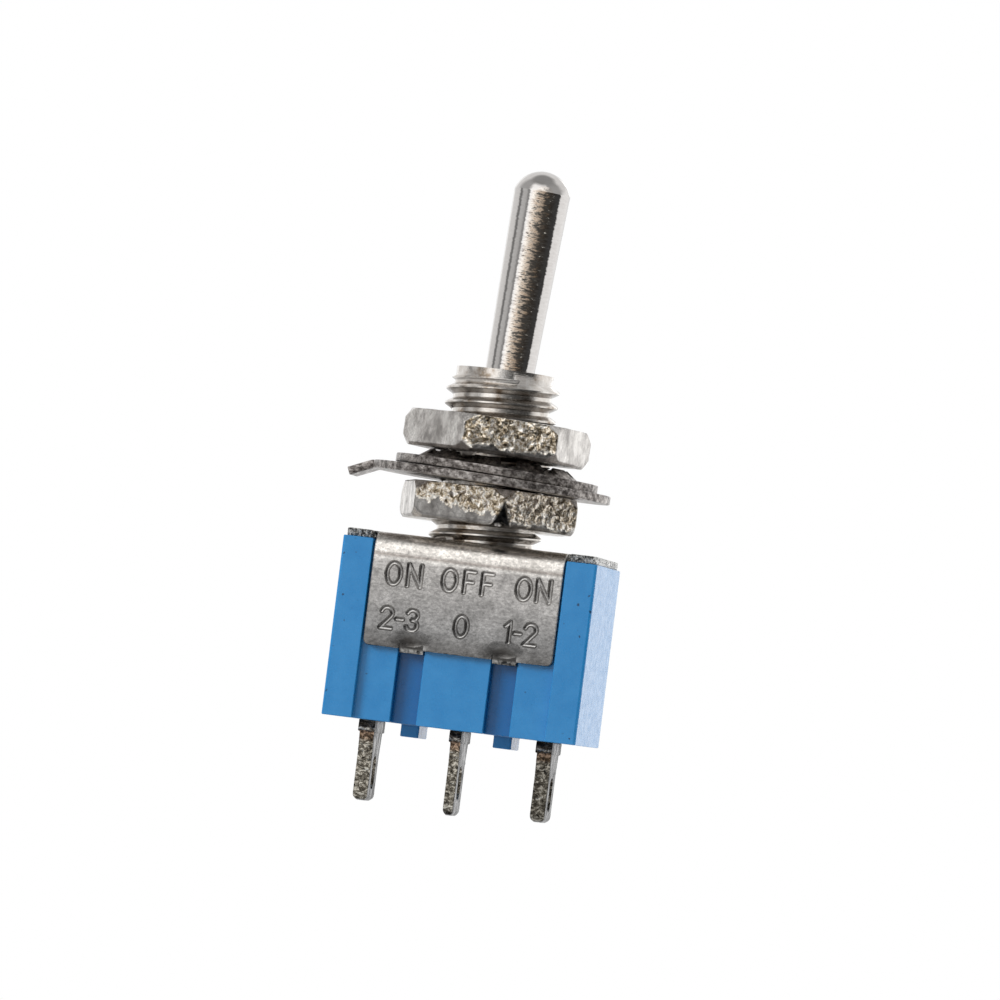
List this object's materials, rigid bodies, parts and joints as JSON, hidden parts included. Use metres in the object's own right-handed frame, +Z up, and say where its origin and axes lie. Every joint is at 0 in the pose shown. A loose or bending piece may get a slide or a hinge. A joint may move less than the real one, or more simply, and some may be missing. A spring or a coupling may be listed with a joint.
{
  "type": "toggle switch",
  "caption": "Miniature panel toggle switch: tapered lever in a threaded bushing with nuts and washers, sheet cover over a moulded housing, solder lugs below.",
  "frame": {"origin": "on the bushing's axis, at the top face of the sheet cover, where the bushing's thread starts", "axes": "+Z up the bushing; +X along the housing, the way the lever is thrown; the lettered flap faces -Y; at rest the lever leans 3.2 degrees towards +X, and the upper nut and both washers lie up to 2.5 degrees aslant"},
  "size_m": [0.0139, 0.0122, 0.0332],
  "materials": {
    "blue_plastic": "moulded phenolic, light blue, slightly satin",
    "nickel_sheet": "nickel plated steel sheet, satin grain",
    "fibre_board": "brown phenolic board",
    "nickel_brass": "nickel plated, turned and threaded",
    "nickel_lever": "nickel plated, turned, fine turning marks",
    "steel_pin": "bright steel",
    "nylon": "natural nylon",
    "spring_steel": "drawn spring wire",
    "silvered_brass": "brass, stamped",
    "terminal_metal": "silver plated brass, dull with dark sheared edges",
    "contact_silver": "silver contact",
    "washer_steel": "nickel plated stamped steel",
    "nut_metal": "nickel plated, pitted surface"
  },
  "bodies": {
    "switch_body": {"housing": "blue_plastic", "frame": "nickel_sheet", "insulator": "fibre_board", "bushing": "nickel_brass", "rocker_cradle": "silvered_brass", "terminal_centre": "terminal_metal", "terminal_left": "terminal_metal", "terminal_right": "terminal_metal", "fixed_contact_left": "contact_silver", "fixed_contact_right": "contact_silver"},
    "toggle": {"lever": "nickel_lever", "pivot_pin": "steel_pin", "plunger_spring": "spring_steel"},
    "plunger": {"plunger": "nylon"},
    "rocker": {"rocker": "silvered_brass", "rocker_contact_left": "contact_silver", "rocker_contact_right": "contact_silver"},
    "lock_washer": {"lock_washer": "washer_steel"},
    "upper_nut": {"upper_nut": "nut_metal"},
    "locating_washer": {"locating_washer": "washer_steel"},
    "lower_nut": {"lower_nut": "nut_metal"}
  },
  "joints": [
    {"name": "toggle_throw", "type": "hinge", "parent": "switch_body", "child": "toggle", "pos_m": [0, 0, 0.0048], "axis": [0, 1, 0], "range_deg": [-15.2, 8.8]},
    {"name": "plunger_slide", "type": "slide", "parent": "toggle", "child": "plunger", "axis": [0.0558, 0, 0.9984], "range_m": [0, 0.0005], "stiffness_N_per_m": 300, "deforming": ["plunger_spring"]},
    {"name": "rocker_tilt", "type": "hinge", "parent": "switch_body", "child": "rocker", "pos_m": [0, 0, -0.0063], "axis": [0, 1, 0], "range_deg": [-5.87, 10.14]},
    {"name": "lock_washer_slide", "type": "slide", "parent": "switch_body", "child": "lock_washer", "axis": [0, 0, 1], "range_m": [0, 0.00225]},
    {"name": "upper_nut_turn", "type": "hinge", "parent": "lock_washer", "child": "upper_nut", "pos_m": [0, 0, 0.00547], "axis": [0.0209, 0, 0.9998], "range_deg": [0, 1081]},
    {"name": "locating_washer_slide", "type": "slide", "parent": "switch_body", "child": "locating_washer", "axis": [0, 0, 1], "range_m": [-0.0009, 0]},
    {"name": "lower_nut_turn", "type": "hinge", "parent": "locating_washer", "child": "lower_nut", "pos_m": [0, 0, 0.002], "axis": [0, 0, 1], "range_deg": [-433, 0]}
  ],
  "couplings": [
    {"joint": "rocker_tilt", "follows": "toggle_throw", "ratio": -0.66667},
    {"joint": "upper_nut_turn", "follows": "lock_washer_slide", "rad_per_m": 8377.6},
    {"joint": "lower_nut_turn", "follows": "locating_washer_slide", "rad_per_m": 8377.6}
  ]
}
